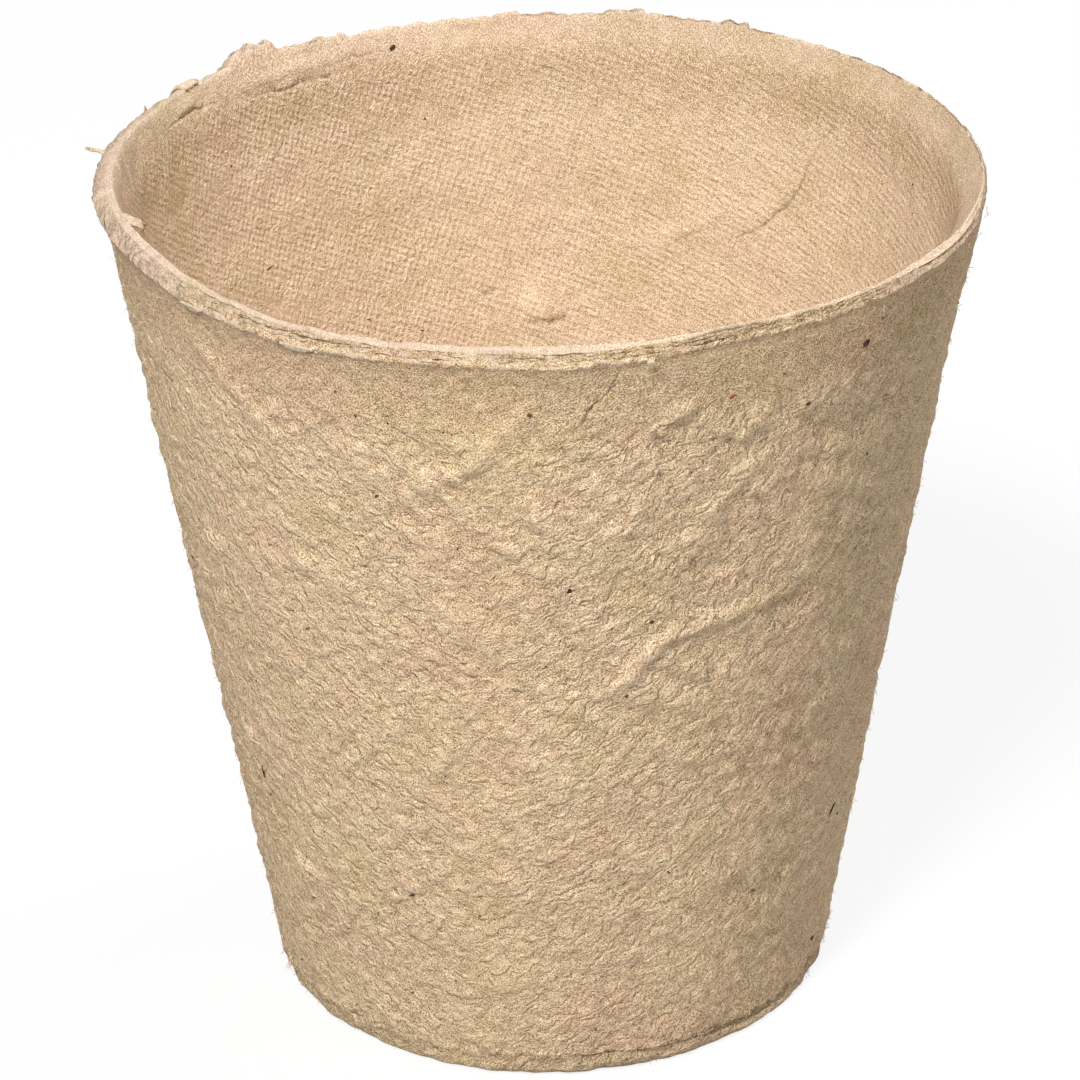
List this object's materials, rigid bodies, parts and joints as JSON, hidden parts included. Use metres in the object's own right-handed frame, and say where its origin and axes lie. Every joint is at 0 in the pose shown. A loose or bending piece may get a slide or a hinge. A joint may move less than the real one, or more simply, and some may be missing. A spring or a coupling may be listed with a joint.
{
  "type": "peat pot",
  "caption": "Round tapered seedling pot of moulded peat pulp, felted in plies, with a flared lip, an open mouth and a flat base.",
  "frame": {"origin": "middle of the flat underside that the pot stands on", "axes": "+Z along the pot's axis, up out of its mouth; the pot is round, so X and Y are free"},
  "size_m": [0.0762, 0.0762, 0.0762],
  "materials": {
    "screen_side_pulp": "matte",
    "core_pulp": "matte",
    "outer_pulp": "matte",
    "base_pulp": "matte"
  },
  "bodies": {
    "root": {"inner_ply": "screen_side_pulp", "inner_core_ply": "core_pulp", "outer_core_ply": "core_pulp", "outer_ply": "outer_pulp", "base_ply": "base_pulp"}
  },
  "joints": []
}
